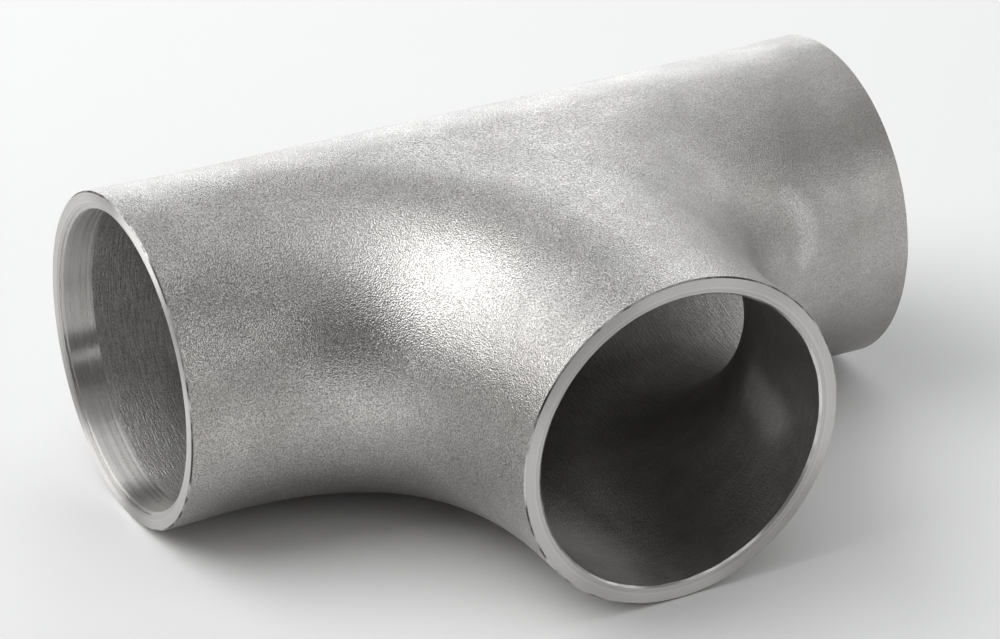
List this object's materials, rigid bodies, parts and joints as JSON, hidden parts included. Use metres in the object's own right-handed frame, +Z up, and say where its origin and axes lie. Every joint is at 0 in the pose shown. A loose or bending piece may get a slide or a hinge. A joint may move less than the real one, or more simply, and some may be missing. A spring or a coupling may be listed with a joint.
{
  "type": "pipe tee",
  "caption": "Butt-weld equal pipe tee: a straight open run with a smoothly blended side branch, thin even wall and machined ends.",
  "frame": {"origin": "crossing of the run's and the branch's centre lines", "axes": "+X along the run, -Y out of the branch, +Z up from the surface that the tee lies on"},
  "size_m": [0.114, 0.0811, 0.0484],
  "materials": {
    "blasted_stainless": "blasted and pickled"
  },
  "bodies": {
    "root": {"tee_body": "blasted_stainless"}
  },
  "joints": []
}
